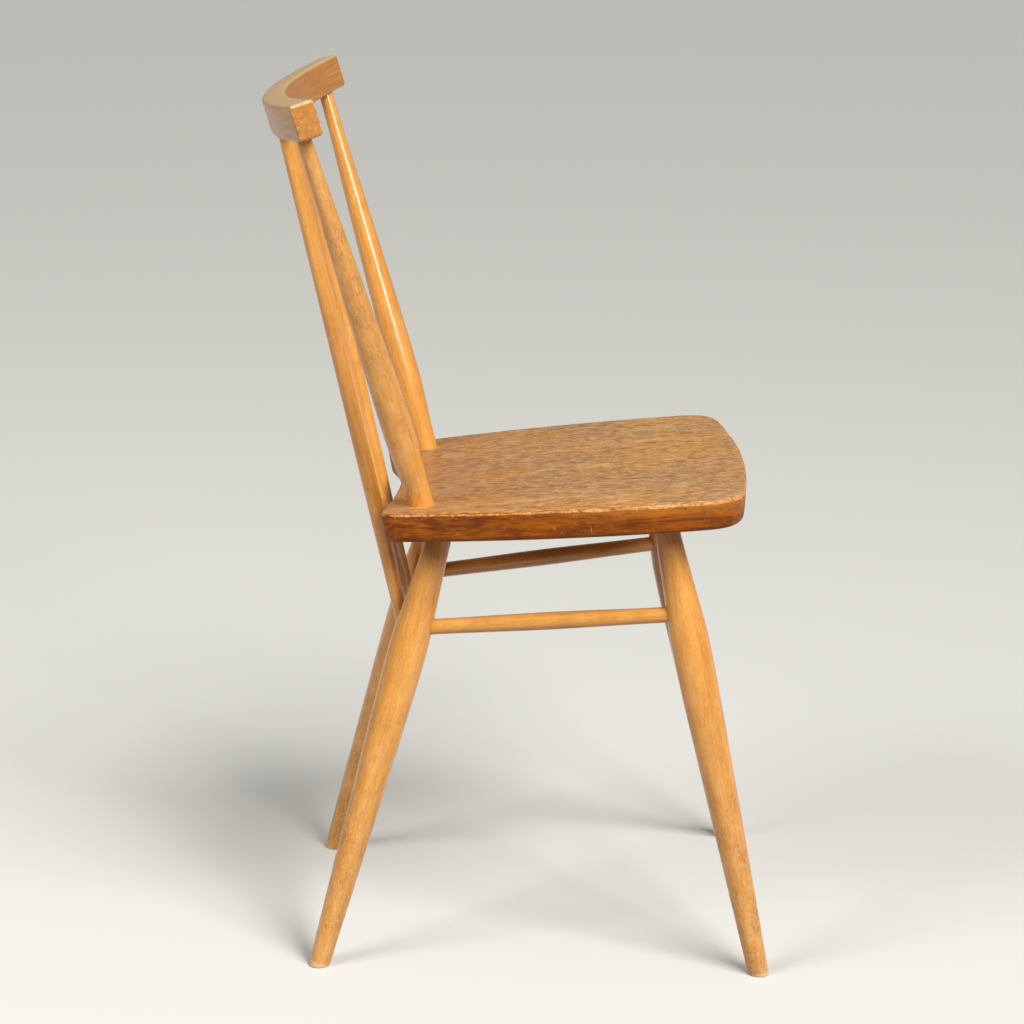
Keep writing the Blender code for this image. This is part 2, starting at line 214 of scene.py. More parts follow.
def smooth_radius(stations, distance):
    """The radius on a smooth curve through stations of distance and radius."""
    gaps = [after[0] - before[0] for before, after in zip(stations, stations[1:])]
    rises = [after[1] - before[1] for before, after in zip(stations, stations[1:])]
    slopes = [rise / gap for rise, gap in zip(rises, gaps)]
    tangents = [slopes[0]]
    for before, after in zip(slopes, slopes[1:]):
        tangents.append(0.0 if before * after <= 0 else 2 * before * after / (before + after))
    tangents.append(slopes[-1])
    index = 0
    while index < len(gaps) - 1 and distance > stations[index + 1][0]:
        index += 1
    t = (distance - stations[index][0]) / gaps[index]
    bend = t * (1 - t) ** 2 * tangents[index] - t * t * (1 - t) * tangents[index + 1]
    return stations[index][1] + rises[index] * t * t * (3 - 2 * t) + gaps[index] * bend


def turned(name, stations, sides=48):
    """A turned blank along +Z: its profile, spun round the lathe's axis."""
    first, last = stations[0][0], stations[-1][0]
    steps = round((last - first) / RING_STEP)
    heights = [first + (last - first) * step / steps for step in range(steps + 1)]
    profile = [(smooth_radius(stations, height), 0, height) for height in heights]
    blank = ring_of(name, [(0, 0, first)] + profile + [(0, 0, last)], "NOTHING")
    start_edit(blank)
    select_edges(blank, lambda point: point.x < WELD)
    bpy.ops.mesh.delete(type="EDGE")
    bpy.ops.mesh.select_mode(type="VERT")
    bpy.ops.mesh.select_all(action="SELECT")
    bpy.ops.mesh.spin(steps=sides, angle=2 * pi, center=(0, 0, 0), axis=(0, 0, 1))
    bpy.ops.mesh.select_all(action="SELECT")
    bpy.ops.mesh.remove_doubles(threshold=WELD)
    bpy.ops.mesh.normals_make_consistent(inside=False)
    end_edit()
    return blank


def saw(piece, point, outward, chamfer):
    """Saw a piece off just short of a plane and raise its end to it with an eased rim."""
    start_edit(piece)
    bpy.ops.mesh.select_all(action="SELECT")
    bpy.ops.mesh.bisect(plane_co=point - outward * chamfer, plane_no=outward, use_fill=True,
                        clear_outer=True)
    bpy.ops.mesh.select_mode(type="FACE")
    bpy.ops.mesh.inset(thickness=chamfer, depth=chamfer)
    end_edit()


def bored(piece, start, end, radius, near, far):
    """Bore a round hole along the line from start to end, between two distances on it."""
    bpy.ops.object.select_all(action="DESELECT")
    bpy.ops.mesh.primitive_cylinder_add(vertices=DRILL_SIDES, radius=radius, depth=far - near,
                                        location=(0, 0, (near + far) / 2))
    drill = bpy.context.object
    settle(drill, along(start, end))
    cut = piece.modifiers.new("bore", "BOOLEAN")
    cut.operation = "DIFFERENCE"
    cut.solver = "EXACT"
    cut.object = drill
    take(piece)
    bpy.ops.object.modifier_apply(modifier=cut.name)
    bpy.data.objects.remove(drill)


# %% [markdown]
# ## Coordinates of the wood itself
# Grain runs along every stick and leg, and round the bend of the rail. So each piece
# carries two sets of coordinates as attributes. "place" is a vertex's position in the
# piece's own frame, with +Z along the grain. "grain" is the same moved by an amount
# of its own, as if each piece came out of another part of the tree. "worn" says how
# much of the varnish is gone, from 0 to 1.

# %% Write the coordinates on a piece
SMOOTH_LIMIT = radians(35)
finished = {}


def store(mesh, name, kind, values):
    """Write one value or vector for each vertex as a named attribute."""
    field = "vector" if kind == "FLOAT_VECTOR" else "value"
    mesh.attributes.new(name, kind, "POINT").data.foreach_set(field, values)


def mark(piece, node, local, tree_part, worn):
    """Store the place, grain and worn attributes and keep the piece for finishing."""
    places = [local(vertex.co) for vertex in piece.data.vertices]
    store(piece.data, "place", "FLOAT_VECTOR", [value for point in places for value in point])
    grain = [value for point in places for value in point + Vector(tree_part)]
    store(piece.data, "grain", "FLOAT_VECTOR", grain)
    store(piece.data, "worn", "FLOAT", [worn(point) for point in places])
    take(piece)
    bpy.ops.object.shade_smooth_by_angle(angle=SMOOTH_LIMIT)
    finished[node] = piece


def mark_turned(piece, node, matrix, tree_part, worn):
    """Mark a turned piece whose axis a matrix has laid in the chair."""
    back = matrix.inverted()
    mark(piece, node, lambda point: back @ point, tree_part, worn)


def ramp(value, low, high):
    """0 below low, 1 above high and even between them."""
    return min(1.0, max(0.0, (value - low) / (high - low)))


def worn_along(least, most, start, end):
    """Wear that grows from least to most between two distances along a piece."""
    return lambda point: least + (most - least) * ramp(point.z, start, end)


# %% [markdown]
# ## The legs
# Four legs come off one pattern: thin where they enter the seat, fullest a third of
# the way down and slim at the foot. The rear pair is a little longer, so one blank is
# turned for each pair and copied. A blank is set at its splay first. Only then is it
# sawn level with the floor, and flush with the seat's top, where its end shows as an
# oval. The holes for the stretchers come last, because two legs are needed to aim one.

# %% Leg blanks
LEG_TENON_RADIUS = 0.0111
LEG_FOOT_RADIUS = 0.0089
LEG_NECK_DROP = 0.008
LEG_SWELLS = [(0.064, 0.0141), (0.117, 0.0173), (0.250, 0.0143)]
LEG_WASTE = 0.008


def leg_axis(side, tenon, foot):
    """Tenon centre in the seat's top and foot centre on the floor."""
    return place(side * tenon[0], tenon[1], seat_top(tenon[1])), place(side * foot[0], foot[1], 0)


def leg_stations(top, foot):
    """Leg radii down its axis, from above the seat's top to below the floor."""
    seat = SEAT_THICKNESS / (top - foot).normalized().dot(seat_up)
    start = [(-LEG_WASTE, LEG_TENON_RADIUS), (seat + LEG_NECK_DROP, LEG_TENON_RADIUS)]
    swells = [(seat + drop, radius) for drop, radius in LEG_SWELLS]
    return start + swells + [((foot - top).length + LEG_WASTE, LEG_FOOT_RADIUS)]


leg_ends = {}
for word, side in SIDES.items():
    leg_ends["front_leg_" + word] = leg_axis(side, FRONT_TENON, FRONT_FOOT)
    leg_ends["rear_leg_" + word] = leg_axis(side, REAR_TENON, REAR_FOOT)

legs = {}
for pair in ("front_leg_", "rear_leg_"):
    legs[pair + "left"] = turned("turned_" + pair + "left", leg_stations(*leg_ends[pair + "left"]))
    legs[pair + "right"] = copy_of(legs[pair + "left"], "turned_" + pair + "right")
print("leg lengths", {name: round((foot - top).length, 4) for name, (top, foot) in leg_ends.items()})

# %% Where the stretchers meet the legs
SIDE_STRETCHER_HEIGHTS = {"rear": 0.3003, "front": 0.3215}
REAR_STRETCHER_HEIGHT = 0.284
REAR_STRETCHER_SETBACK = 0.003


def at_height(ends, height):
    """The point of an axis at a height."""
    start, end = ends
    return start.lerp(end, (height - start.z) / (end.z - start.z))


side_stretcher_ends = {}
for word in SIDES:
    rear, front = leg_ends["rear_leg_" + word], leg_ends["front_leg_" + word]
    side_stretcher_ends[word] = (at_height(rear, SIDE_STRETCHER_HEIGHTS["rear"]),
                                 at_height(front, SIDE_STRETCHER_HEIGHTS["front"]))
rear_left = at_height(leg_ends["rear_leg_left"], REAR_STRETCHER_HEIGHT)
rear_left.y += REAR_STRETCHER_SETBACK
rear_right = Vector((-rear_left.x, rear_left.y, rear_left.z))
print("rear stretcher from", rear_right[:], "to", rear_left[:])

# %% Set, saw and bore the legs
STRETCHER_END_RADIUS = 0.0070
FIT = 0.0001
HOLE_REACH = 0.03
TENON_CHAMFER = 0.00015
FOOT_CHAMFER = 0.0008
LEG_WEAR = (0.25, 1.0)
LEG_WORN_SHARE = (0.35, 0.80)
LEG_TREE_STEP = (0.31, 0.17, 0.7)

for index, (name, leg) in enumerate(legs.items()):
    top, foot = leg_ends[name]
    settle(leg, along(top, foot))
    saw(leg, top, seat_up, TENON_CHAMFER)
    saw(leg, place(0, 0, 0), Vector((0, 0, -1)), FOOT_CHAMFER)
    word = name.split("_")[-1]
    rear, front = side_stretcher_ends[word]
    if name.startswith("front"):
        bored(leg, front, rear, STRETCHER_END_RADIUS + FIT, -FIT, HOLE_REACH)
    else:
        bored(leg, rear, front, STRETCHER_END_RADIUS + FIT, -FIT, HOLE_REACH)
        near, far = (rear_right, rear_left) if word == "right" else (rear_left, rear_right)
        bored(leg, near, far, STRETCHER_END_RADIUS + FIT, -FIT, HOLE_REACH)
    tree_part = [step * index for step in LEG_TREE_STEP]
    reach = [share * (foot - top).length for share in LEG_WORN_SHARE]
    mark_turned(leg, name, along(top, foot), tree_part, worn_along(*LEG_WEAR, *reach))
    print(name, "has", len(leg.data.polygons), "faces")

# %% [markdown]
# ## The stretchers
# Two thin rods tie front legs to rear legs, and a stouter one ties the rear pair.
# All three swell a little in the middle and enter the legs by parallel ends. The side
# pair is one turning, copied.

# %% Stretchers
STRETCHER_NECK = 0.0243
SIDE_STRETCHER_MIDDLE = 0.0079
REAR_STRETCHER_MIDDLE = 0.0096
SIDE_STRETCHER_SIDES = 32
REAR_STRETCHER_SIDES = 40
SIDE_STRETCHER_WEAR = 0.35
REAR_STRETCHER_WEAR = 0.3
SIDE_STRETCHER_TREE = {"left": (2.3, 0.4, 0.2), "right": (0.3, 0.4, 0.2)}
REAR_STRETCHER_TREE = (0.2, 5.1, 0.3)


def stretcher_stations(start, end, middle):
    """Parallel ends that enter the legs, and a gentle swell between them."""
    length = (end - start).length
    radius = STRETCHER_END_RADIUS
    return [(0, radius), (STRETCHER_NECK, radius), (length / 2, middle),
            (length - STRETCHER_NECK, radius), (length, radius)]


stations = stretcher_stations(*side_stretcher_ends["left"], SIDE_STRETCHER_MIDDLE)
left_rod = turned("turned_side_stretcher_left", stations, SIDE_STRETCHER_SIDES)
rods = {"left": left_rod, "right": copy_of(left_rod, "turned_side_stretcher_right")}
for word, rod in rods.items():
    matrix = along(*side_stretcher_ends[word])
    settle(rod, matrix)
    mark_turned(rod, "side_stretcher_" + word, matrix, SIDE_STRETCHER_TREE[word],
                lambda point: SIDE_STRETCHER_WEAR)

stations = stretcher_stations(rear_right, rear_left, REAR_STRETCHER_MIDDLE)
rear_rod = turned("turned_rear_stretcher", stations, REAR_STRETCHER_SIDES)
settle(rear_rod, along(rear_right, rear_left))
print("side stretchers", [round(point.y, 4) for point in side_stretcher_ends["left"]])

# %% [markdown]
# ## The bent top rail
# The real rail is steamed and bent. Here its oblong section is rounded at the corners
# and spun through a short arc, which keeps the grain's direction plain: it is the arc
# itself. Its ends are then eased, and a narrow inset holds each end face flat.

# %% Rail
RAIL_EDGE = 0.0030
RAIL_END_ARRIS = 0.0025
RAIL_END_BORDER = 0.0003
RAIL_SPIN_STEPS = 72
ROUND_SEGMENTS = 4
half_bend = RAIL_LENGTH / 2 / RAIL_BEND_RADIUS


def unbend(point):
    """A point of the rail's frame on the straight bar it was bent from, +Z along it."""
    reach = Vector((point.x, point.y + RAIL_BEND_RADIUS))
    turn = asin(point.x / reach.length)
    return Vector((reach.length - RAIL_BEND_RADIUS, point.z, turn * RAIL_BEND_RADIUS))


bpy.ops.object.select_all(action="DESELECT")
bpy.ops.mesh.primitive_plane_add(size=1, location=(0, 0, 0), rotation=(0, pi / 2, 0))
rail = bpy.context.object
rail.name = "bent_rail"
rail.scale = (RAIL_DEPTH, RAIL_THICKNESS, 1)
bpy.ops.object.transform_apply(location=False, rotation=True, scale=True)
bend_centre = Matrix.Translation((0, RAIL_BEND_RADIUS, 0))
settle(rail, bend_centre.inverted() @ Matrix.Rotation(half_bend, 4, "Z") @ bend_centre)
start_edit(rail)
bpy.ops.mesh.select_all(action="SELECT")
bpy.ops.mesh.bevel(offset=RAIL_EDGE, segments=ROUND_SEGMENTS, affect="VERTICES")
bpy.ops.mesh.select_all(action="SELECT")
bpy.ops.mesh.spin(steps=RAIL_SPIN_STEPS, angle=2 * half_bend, center=(0, -RAIL_BEND_RADIUS, 0),
                  axis=(0, 0, 1))
bpy.ops.mesh.select_all(action="SELECT")
bpy.ops.mesh.normals_make_consistent(inside=False)
select_edges(rail, lambda point: abs(unbend(point).z) > RAIL_LENGTH / 2 - WELD)
bpy.ops.mesh.bevel(offset=RAIL_END_ARRIS, segments=ROUND_SEGMENTS, affect="EDGES", clamp_overlap=True)
select_faces(rail, lambda face: abs(unbend(face.center).z) > RAIL_LENGTH / 2 - WELD)
bpy.ops.mesh.inset(thickness=RAIL_END_BORDER, use_individual=True)
end_edit()
print("rail before it is set up", [round(size, 4) for size in rail.dimensions])
settle(rail, rail_matrix)

# %% [markdown]
# ## Posts and slim sticks
# Two stout posts stand in the seat and lean back and outwards to the rail. Three slim
# sticks pass behind the seat's hollow back edge and end on the rear stretcher. The
# posts are one turning, copied, and so are the two outer sticks. Each ends in a hole
# that is bored for it in the rail and in the stretcher.

# %% Posts
RAIL_SOCKET = 0.015
RAIL_HOLE_START = 0.010
POST_SOCKET = 0.018
POST_FOOT = (0.108, 0.2985)
POST_RAIL_MARGIN = 0.0281
POST_FOOT_RADIUS = 0.0108
POST_HEAD_RADIUS = 0.0064
POST_SWELLS = [(0.072, 0.0135), (0.205, 0.0105)]
POST_WEAR = {"left": 0.35, "right": 0.90}
POST_FOOT_SHARE = 0.45
POST_WORN_FROM = (0.02, 0.16)
POST_TREE = {"left": (2.1, 3.3, 0.4), "right": (-2.1, 3.3, 0.4)}


def rail_underside(distance):
    """The point under the middle of the rail at a distance round its bend."""
    turn = distance / RAIL_BEND_RADIUS
    back = RAIL_BEND_RADIUS * (cos(turn) - 1)
    return rail_matrix @ Vector((RAIL_BEND_RADIUS * sin(turn), back, -RAIL_DEPTH / 2))


def rail_hole(foot, head, radius):
    """Bore the rail for a post or stick."""
    length = (head - foot).length
    bored(rail, foot, head, radius + FIT, length - RAIL_HOLE_START, length + RAIL_SOCKET + FIT)


post_ends = {}
for word, side in SIDES.items():
    foot = place(side * POST_FOOT[0], POST_FOOT[1], seat_top(POST_FOOT[1]))
    post_ends[word] = (foot, rail_underside(side * (RAIL_LENGTH / 2 - POST_RAIL_MARGIN)))
length = (post_ends["left"][1] - post_ends["left"][0]).length
stations = [(-POST_SOCKET, POST_FOOT_RADIUS), (0, POST_FOOT_RADIUS)] + POST_SWELLS
stations += [(length, POST_HEAD_RADIUS), (length + RAIL_SOCKET, POST_HEAD_RADIUS)]
left_post = turned("turned_post_left", stations)
posts = {"left": left_post, "right": copy_of(left_post, "turned_post_right")}
for word, post in posts.items():
    matrix = along(*post_ends[word])
    settle(post, matrix)
    most = POST_WEAR[word]
    worn = worn_along(most * POST_FOOT_SHARE, most, *POST_WORN_FROM)
    mark_turned(post, "back_post_" + word, matrix, POST_TREE[word], worn)
    rail_hole(*post_ends[word], POST_HEAD_RADIUS)
print("posts", round(length, 4), "long above the seat")

# %% Slim sticks
STICK_STEPS = {"left": 1, "middle": 0, "right": -1}
STICK_RAIL_SPACING = 0.0722
STICK_STRETCHER_SPACING = 0.056
STICK_END_RADIUS = 0.0063
STICK_SWELL = (0.160, 0.0069)
STRETCHER_HOLE_REACH = 0.02
STICK_SIDES = 32
STICK_WEAR = 0.3
STICK_TREE = {"left": (5.2, 0.9, 0.6), "middle": (4.2, 0.9, 0.0), "right": (3.2, 0.9, -0.6)}
RAIL_WEAR = 0.5
RAIL_TREE = (6.3, 0.8, 0.5)

stick_ends = {}
for word, step in STICK_STEPS.items():
    foot = Vector((step * STICK_STRETCHER_SPACING, rear_left.y, rear_left.z))
    stick_ends[word] = (foot, rail_underside(step * STICK_RAIL_SPACING))


def stick_blank(word):
    """A slim stick as long as its two ends are apart."""
    foot, head = stick_ends[word]
    length = (head - foot).length
    stations = [(0, STICK_END_RADIUS), STICK_SWELL, (length, STICK_END_RADIUS),
                (length + RAIL_SOCKET, STICK_END_RADIUS)]
    return turned("turned_stick_" + word, stations, STICK_SIDES)


sticks = {"left": stick_blank("left"), "middle": stick_blank("middle")}
sticks["right"] = copy_of(sticks["left"], "turned_stick_right")
for word, stick in sticks.items():
    matrix = along(*stick_ends[word])
    settle(stick, matrix)
    mark_turned(stick, "back_stick_" + word, matrix, STICK_TREE[word], lambda point: STICK_WEAR)
    rail_hole(*stick_ends[word], STICK_END_RADIUS)
    bored(rear_rod, *stick_ends[word], STICK_END_RADIUS + FIT, -FIT, STRETCHER_HOLE_REACH)

mark_turned(rear_rod, "rear_stretcher", along(rear_right, rear_left), REAR_STRETCHER_TREE,
            lambda point: REAR_STRETCHER_WEAR)
rail_back = rail_matrix.inverted()
mark(rail, "top_rail", lambda point: unbend(rail_back @ point), RAIL_TREE, lambda point: RAIL_WEAR)
print("rail bored for", len(post_ends) + len(stick_ends), "pieces")

# %% [markdown]
# ## The seat
# The seat is one elm plank: bowed at the front and sides, hollow at the back where the
# slim sticks pass, and flat on top. A ring of many corners is moved on to that
# outline and extruded. Each edge is then rounded by a run of small insets that climb
# a quarter circle, which a bevel could not do past corners this close together.

# %% Outline of the seat
SEAT_HALF_FRONT = 0.1675
SEAT_HALF_BACK = 0.1305
FRONT_BOW = 0.0145
SIDE_BOW = 0.0128
BACK_HOLLOW = 0.0195
FRONT_ROUND = 0.030
BACK_ROUND = 0.016
EDGE_STEPS = 60
CORNER_STEPS = 14

corners = [Vector((-SEAT_HALF_FRONT, FRONT_BOW)), Vector((SEAT_HALF_FRONT, FRONT_BOW)),
           Vector((SEAT_HALF_BACK, SEAT_DEPTH)), Vector((-SEAT_HALF_BACK, SEAT_DEPTH))]
rounds = [FRONT_ROUND, FRONT_ROUND, BACK_ROUND, BACK_ROUND]
bows = [FRONT_BOW, SIDE_BOW, -BACK_HOLLOW, SIDE_BOW]


def edge_point(index, t):
    """A point on one of the seat's four edges, t of the way along it."""
    start, end = corners[index % 4], corners[(index + 1) % 4]
    way = end - start
    outward = Vector((way.y, -way.x)).normalized()
    return start + way * t + outward * (4 * bows[index % 4] * t * (1 - t))


def edge_length(index):
    return (corners[(index + 1) % 4] - corners[index % 4]).length


outline = []
for index in range(4):
    corner, turn_round = corners[(index + 1) % 4], rounds[(index + 1) % 4]
    first, last = rounds[index] / edge_length(index), 1 - turn_round / edge_length(index)
    ways = [first + (last - first) * step / EDGE_STEPS for step in range(EDGE_STEPS + 1)]
    outline += [edge_point(index, t) for t in ways]
    leave = edge_point(index + 1, turn_round / edge_length(index + 1))
    for t in [step / CORNER_STEPS for step in range(1, CORNER_STEPS)]:
        outline.append(edge_point(index, last) * (1 - t) ** 2 + corner * (2 * t * (1 - t)) + leave * t * t)
print("outline has", len(outline), "corners")

# %% Saw and round the seat
SEAT_TOP_ARRIS = 0.0035
SEAT_LOWER_ARRIS = 0.0060
SEAT_UNDERCUT = 0.002
SEAT_BORDER = 0.004
ROUND_STEPS = 5
LEVEL = 0.9


def round_over(radius):
    """Round the rim of the selected face with small insets."""
    turns = [pi / 2 * step / ROUND_STEPS for step in range(ROUND_STEPS + 1)]
    for turn, after in zip(turns, turns[1:]):
        bpy.ops.mesh.inset(thickness=radius * (cos(turn) - cos(after)),
                           depth=radius * (sin(after) - sin(turn)))


seat = ring_of("sawn_seat", [(point.x, point.y, -SEAT_TOP_ARRIS) for point in outline], "NGON")
start_edit(seat)
bpy.ops.mesh.select_all(action="SELECT")
side_height = SEAT_THICKNESS - SEAT_TOP_ARRIS - SEAT_LOWER_ARRIS
bpy.ops.mesh.extrude_region_move(TRANSFORM_OT_translate={"value": (0, 0, -side_height)})
undercut = 1 - 2 * SEAT_UNDERCUT / SEAT_DEPTH
bpy.ops.transform.resize(value=(undercut, undercut, 1), center_override=(0, SEAT_DEPTH / 2, 0))
bpy.ops.mesh.select_all(action="SELECT")
bpy.ops.mesh.normals_make_consistent(inside=False)
select_faces(seat, lambda face: face.normal.z > LEVEL)
round_over(SEAT_TOP_ARRIS)
bpy.ops.mesh.inset(thickness=SEAT_BORDER)
select_faces(seat, lambda face: face.normal.z < -LEVEL)
round_over(SEAT_LOWER_ARRIS)
end_edit()
print("seat box", [round(size, 4) for size in seat.dimensions])

# %% [markdown]
# ### A knocked edge
# Years of knocks have left the seat's upper edge uneven. The corners on its rounding
# are pushed in and down by up to a few tenths of a millimetre, by a smooth noise, so
# the light that runs along the edge wavers as it does on the real one.

# %% Knock the upper edge
KNOCK_DEPTH = 0.0009
KNOCKS_PER_METRE = 75

knocks = []
for vertex in seat.data.vertices:
    if WELD < -vertex.co.z < SEAT_TOP_ARRIS - WELD:
        inward = Vector((-vertex.co.x, SEAT_DEPTH / 2 - vertex.co.y, 0)).normalized()
        knock = max(0.0, noise.noise(vertex.co * KNOCKS_PER_METRE)) * KNOCK_DEPTH
        vertex.co += (inward - Vector((0, 0, 1))) * knock
        knocks.append(knock)
print("corners on the rounding:", len(knocks), "deepest knock", round(max(knocks) * 1000, 2), "mm")

# %% Set the seat at its rake and bore it
SEAT_HOLE_REACH = 0.02
SEAT_WEAR = 0.5
SEAT_TREE = (0.6, 0.3, 0.9)

settle(seat, seat_matrix)
for top, foot in leg_ends.values():
    bored(seat, top, foot, LEG_TENON_RADIUS + FIT, -SEAT_HOLE_REACH, SEAT_THICKNESS + SEAT_HOLE_REACH)
for foot, head in post_ends.values():
    bored(seat, foot, head, POST_FOOT_RADIUS + FIT, -POST_SOCKET - FIT, SEAT_HOLE_REACH)
seat_back = seat_matrix.inverted()


def rim_distance(point):
    """Distance in from the seat's outline on top, less the depth below the top."""
    flat = Vector((point.x, point.y))
    nearest = min((flat - corner).length for corner in outline)
    return nearest if point.z > -WELD else min(nearest, SEAT_BORDER) + point.z


def plank(point):
    """A point of the chair with +Z along the plank's grain, front to back."""
    local = seat_back @ point
    return Vector((local.x, local.z, local.y))


mark(seat, "seat", plank, SEAT_TREE, lambda point: SEAT_WEAR)
store(seat.data, "rim", "FLOAT", [rim_distance(seat_back @ vertex.co) for vertex in seat.data.vertices])
print("seat has", len(seat.data.polygons), "faces")

# %% [markdown]
# ## Shader sums in plain Python
# A wood finish is mostly arithmetic on noises. This small class wraps a shader socket,
# so that 1 - mask or mask * 0.5 adds the Math node it needs. Any other node comes from
# one call that takes its type, its settings and its inputs.

# %% Shader helper
MIX_FIRST, MIX_SECOND, MIX_RESULT = 6, 7, 2  # the colour sockets of a Mix node


class Socket:
    """A shader value that takes part in ordinary sums."""

    def __init__(self, maker, socket):
        self.maker = maker
        self.socket = socket

    def __add__(self, other):
        return self.maker.sum_of("ADD", self, other)

    __radd__ = __add__

    def __sub__(self, other):
        return self.maker.sum_of("SUBTRACT", self, other)

    def __rsub__(self, other):
        return self.maker.sum_of("SUBTRACT", other, self)

    def __mul__(self, other):
        return self.maker.sum_of("MULTIPLY", self, other)

    __rmul__ = __mul__


class Finish:
    """One material and the calls that add its nodes."""

    def __init__(self, name):
        self.material = bpy.data.materials.new(name)
        self.material.use_nodes = True
        self.tree = self.material.node_tree
        self.shader = self.tree.nodes["Principled BSDF"]

    def feed(self, socket, value):
        if isinstance(value, Socket):
            self.tree.links.new(value.socket, socket)
        else:
            socket.default_value = value

    def add(self, kind, settings, inputs, output=0):
        node = self.tree.nodes.new(kind)
        for key, value in settings.items():
            setattr(node, key, value)
        for key, value in inputs.items():
            self.feed(node.inputs[key], value)
        return Socket(self, node.outputs[output])

    def sum_of(self, operation, first, second):
        return self.add("ShaderNodeMath", {"operation": operation}, {0: first, 1: second})

    def size_of(self, value):
        """A value without its sign."""
        return self.add("ShaderNodeMath", {"operation": "ABSOLUTE"}, {0: value})

    def attribute(self, name, output="Vector"):
        return self.add("ShaderNodeAttribute", {"attribute_name": name}, {}, output)

    def parts(self, vector):
        """The X, Y and Z of a vector."""
        return [self.add("ShaderNodeSeparateXYZ", {}, {0: vector}, axis) for axis in range(3)]

    def noise(self, vector, per_metre, detail=2.0, roughness=0.5, shift=0.0):
        """Noise around 0.5, with so many features in a metre along each axis."""
        scaled = self.add("ShaderNodeVectorMath", {"operation": "MULTIPLY_ADD"},
                          {0: vector, 1: per_metre, 2: (shift, shift, shift)})
        return self.add("ShaderNodeTexNoise", {}, {"Vector": scaled, "Scale": 1.0, "Detail": detail,
                                                   "Roughness": roughness}, "Fac")

    def step(self, value, low, high):
        """A soft step from 0 at low to 1 at high."""
        return self.add("ShaderNodeMapRange", {"interpolation_type": "SMOOTHSTEP"},
                        {"Value": value, "From Min": low, "From Max": high})

    def mask(self, vector, per_metre, edge, *rest):
        """A noise stepped from 0 to 1 between the two values of its edge."""
        return self.step(self.noise(vector, per_metre, *rest), *edge)

    def blend(self, factor, first, second):
        """A colour between two colours."""
        pair = [(*colour, 1.0) if isinstance(colour, tuple) else colour for colour in (first, second)]
        inputs = {0: factor, MIX_FIRST: pair[0], MIX_SECOND: pair[1]}
        return self.add("ShaderNodeMix", {"data_type": "RGBA"}, inputs, MIX_RESULT)

    def relief(self, height, depth, strength):
        """Bump the surface by a height between 0 and 1 times a depth in metres."""
        bump = self.add("ShaderNodeBump", {}, {"Height": height, "Distance": depth, "Strength": strength})
        self.vary(Normal=bump)

    def vary(self, **values):
        """Feed values that change over the surface to the main shader."""
        for key, value in values.items():
            self.feed(self.shader.inputs[key.replace("_", " ")], value)

    def hold(self, **values):
        """Set sockets of the main shader that are the same all over the surface."""
        for key, value in values.items():
            self.shader.inputs[key.replace("_", " ")].default_value = value


def layered(shares, **layers):
    """A base value plus every layer times its share."""
    total = shares["base"]
    for key, layer in layers.items():
        total = layer * shares[key] + total
    return total


# %% [markdown]
# ## Varnished beech
# Beech is pale and even, and its varnish has gone honey coloured. Close up there are
# soft bands and fine streaks along the grain and short darker flecks. Where hands and
# feet have rubbed it, the varnish is blotched light and dark and crazed into specks,
# most of all low on the legs and up the right post. The very feet are bare.
#
# Each noise below has its number of features in a metre across, across and along, then
# its detail, its roughness and a shift that sets it apart from the others. The values
# called edge are where a noise's step starts and ends, and stand second where the
# noise is only used stepped. The shares say how much of each layer shows.

# %% Colours and grain of beech
HONEY = (0.84, 0.375, 0.066)
AMBER = (0.54, 0.190, 0.024)
STRAW = (0.92, 0.60, 0.26)
UMBER = (0.36, 0.132, 0.024)
# reddish brown for the rail: its redder wood, and painted shade for the rail's weaker light
RUSSET_AND_SHADE = (0.44, 0.150, 0.013)
BARE = (0.76, 0.56, 0.33)
FADED = (0.60, 0.44, 0.23)
TENON_DARK = (0.43, 0.220, 0.090)
TENON_PALE = (0.56, 0.34, 0.155)

BEECH_BANDS = ((60, 60, 2.5), (0.35, 0.70), 2)
BEECH_STREAKS = ((420, 420, 16), (0.42, 0.70), 3, 0.6)
BEECH_FIBRES = ((1100, 1100, 60), 2, 0.6)
BEECH_FLECKS = ((900, 900, 200), (0.60, 0.70), 1)
BEECH_BLOTCHES = ((85, 85, 40), 4, 0.65, 3.1)
BEECH_CRAZING = ((620, 620, 260), 4, 0.8, 7.7)
BEECH_DOTS = ((520, 520, 380), (0.76, 0.80), 1, 0.5, 3.9)

FIBRES_EDGE = (0.50, 0.75)
BLOTCHES_EDGE = (0.52, 0.62)
RUBBED_EDGE = (0.580, 0.670)
GRIMY_EDGE = (0.540, 0.590)
WORN_EDGE = (0.1, 0.5)

BEECH_SHARES = {"bands": 0.35, "streaks": 0.32, "fibres": 0.35, "flecks": 0.28, "brown": 0.48,
                "pale": 0.30, "grimy": 0.32, "rubbed": 0.40, "dots": 0.8}
REACH_SHARES = {"base": 0.0, "crazing": 0.75, "blotches": 0.25, "worn": 0.09}
RELIEF_SHARES = {"base": 0.0, "fibres": 0.4, "flecks": -0.3, "rubbed": -0.8}
BEECH_RELIEF = (0.00025, 0.5)
BEECH_GLOSS = {"Coat_Roughness": 0.15, "Specular_IOR_Level": 0.3}


